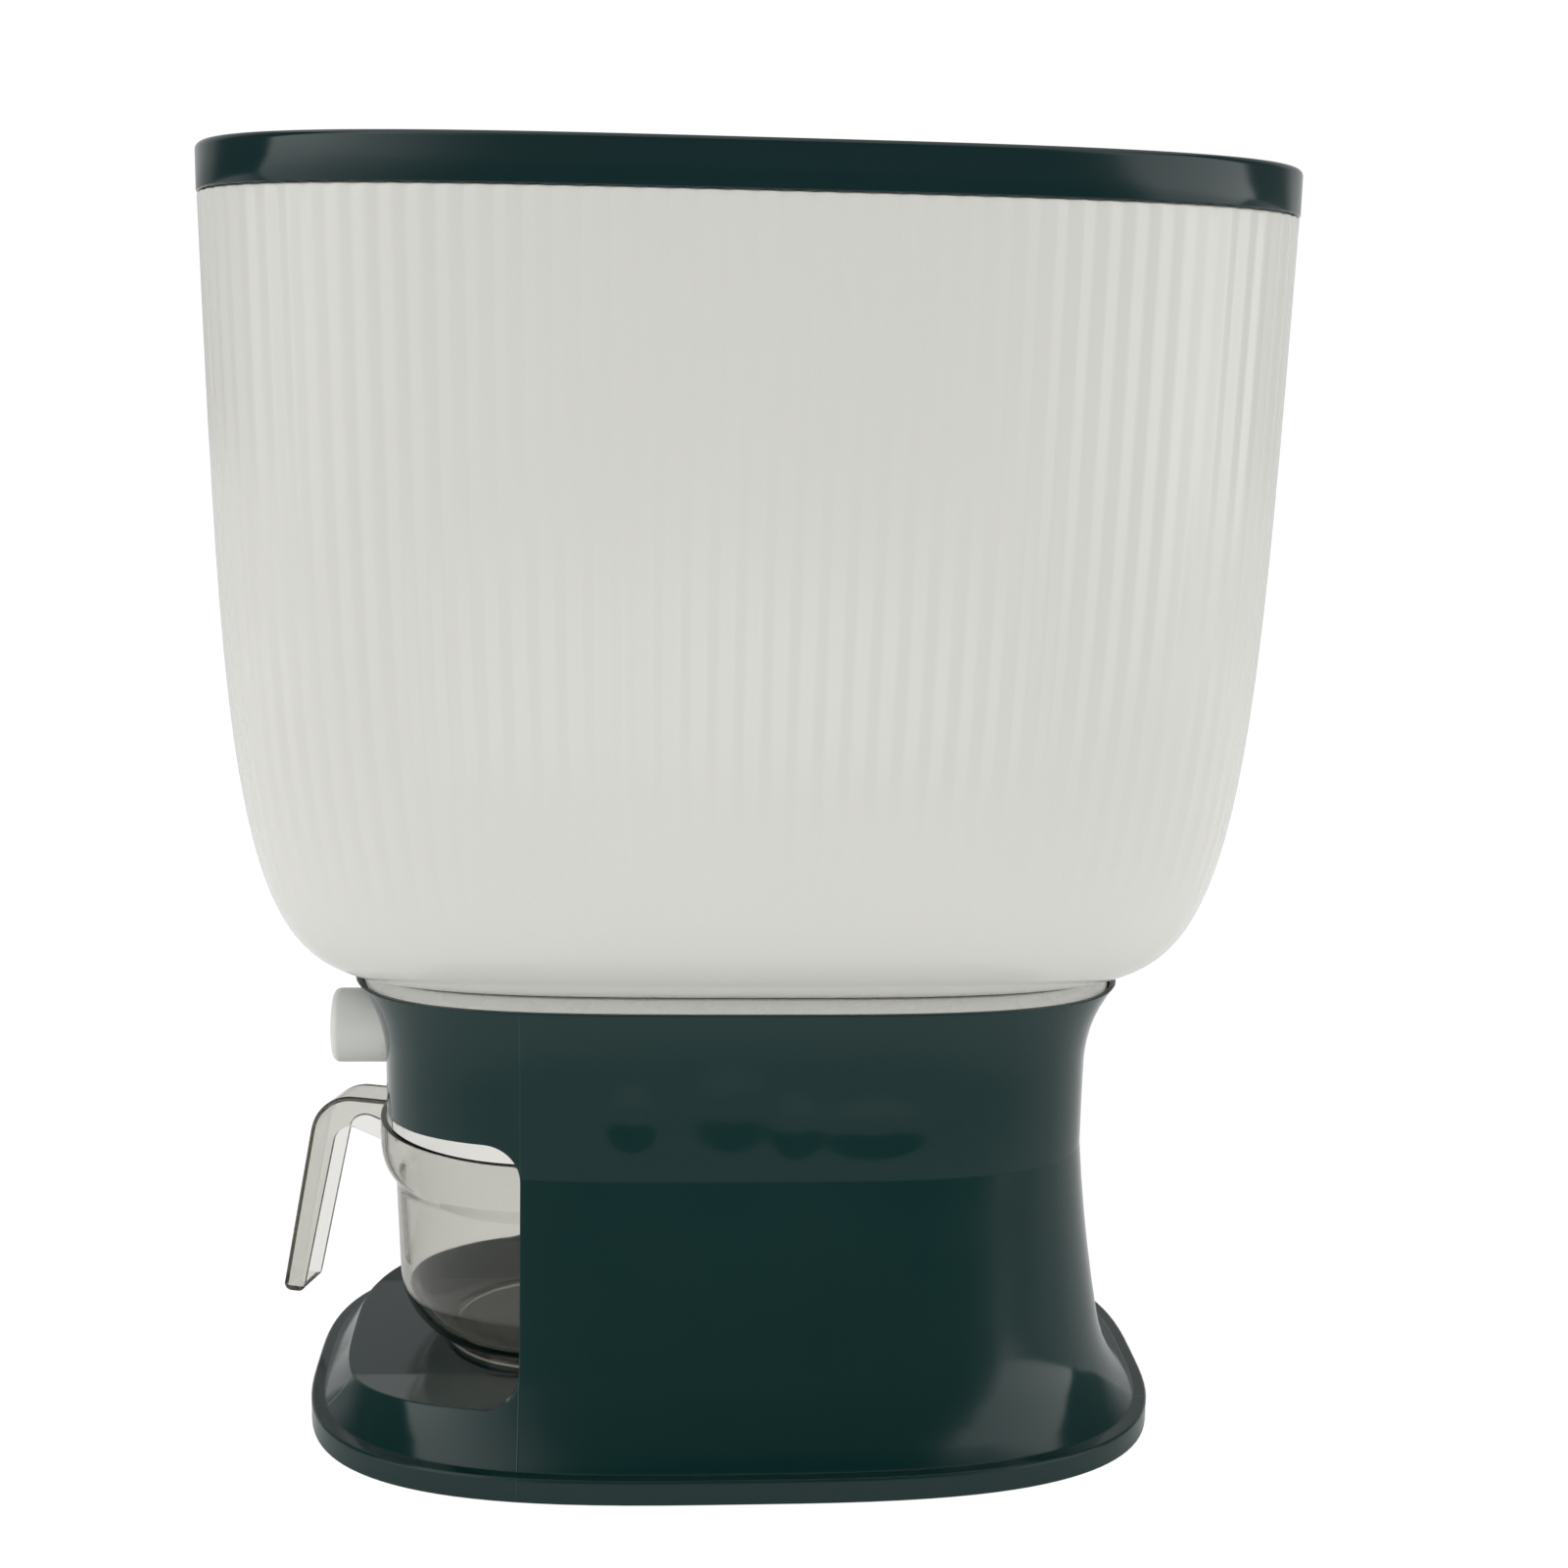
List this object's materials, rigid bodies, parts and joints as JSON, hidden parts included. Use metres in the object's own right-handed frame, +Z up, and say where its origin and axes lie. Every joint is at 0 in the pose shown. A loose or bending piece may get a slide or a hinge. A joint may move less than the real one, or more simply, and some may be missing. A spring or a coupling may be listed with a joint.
{
  "type": "rice dispenser",
  "caption": "Counter-top rice dispenser: fluted bin with a lid on a waisted stand, push button with a sliding gate, and a clear measuring cup in a bay.",
  "frame": {"origin": "middle of the footprint on the surface that the feet stand on", "axes": "+Z up; the button, the cup bay and the handle face -Y; +X is to the right when looking at the button side along +Y"},
  "size_m": [0.226, 0.3489, 0.4257],
  "materials": {
    "lid_green": "glossy dark green",
    "base_green": "glossy dark green",
    "bin_cream": "satin off-white",
    "plate_white": "satin white",
    "button_cream": "satin off-white",
    "cup_clear": "clear, faintly smoky",
    "funnel_white": "satin",
    "gate_white": "satin",
    "seal_grey": "soft matt",
    "foot_black": "matt",
    "steel": "zinc plated",
    "spring_steel": "bright wire"
  },
  "bodies": {
    "stand": {"hopper": "bin_cream", "hopper_floor": "funnel_white", "hopper_screws": "steel", "top_plate": "plate_white", "pedestal": "base_green", "button_sleeve": "gate_white", "gate_track": "gate_white", "gate_cover": "gate_white", "gate_screws": "steel", "outlet_seal": "seal_grey", "spring_pin_left": "steel", "spring_pin_right": "steel", "return_spring_left": "spring_steel", "return_spring_right": "spring_steel", "chute": "gate_white", "base_plate": "base_green", "base_screws": "steel", "foot_front_left": "foot_black", "foot_front_right": "foot_black", "foot_rear_left": "foot_black", "foot_rear_right": "foot_black"},
    "lid": {"lid": "lid_green", "lid_seal": "seal_grey"},
    "push_button": {"button": "button_cream", "button_screw": "steel", "gate": "gate_white"},
    "cup": {"measuring_cup": "cup_clear"}
  },
  "joints": [
    {"name": "lid_lift", "type": "slide", "parent": "stand", "child": "lid", "axis": [0, 0, 1], "range_m": [0, 0.06]},
    {"name": "button_press", "type": "slide", "parent": "stand", "child": "push_button", "axis": [0, 1, 0], "range_m": [0, 0.014], "stiffness_N_per_m": 260, "springref_m": -0.012, "deforming": ["return_spring_left", "return_spring_right"]},
    {"name": "cup_pull", "type": "slide", "parent": "stand", "child": "cup", "axis": [0, -1, 0], "range_m": [0, 0.15]}
  ]
}
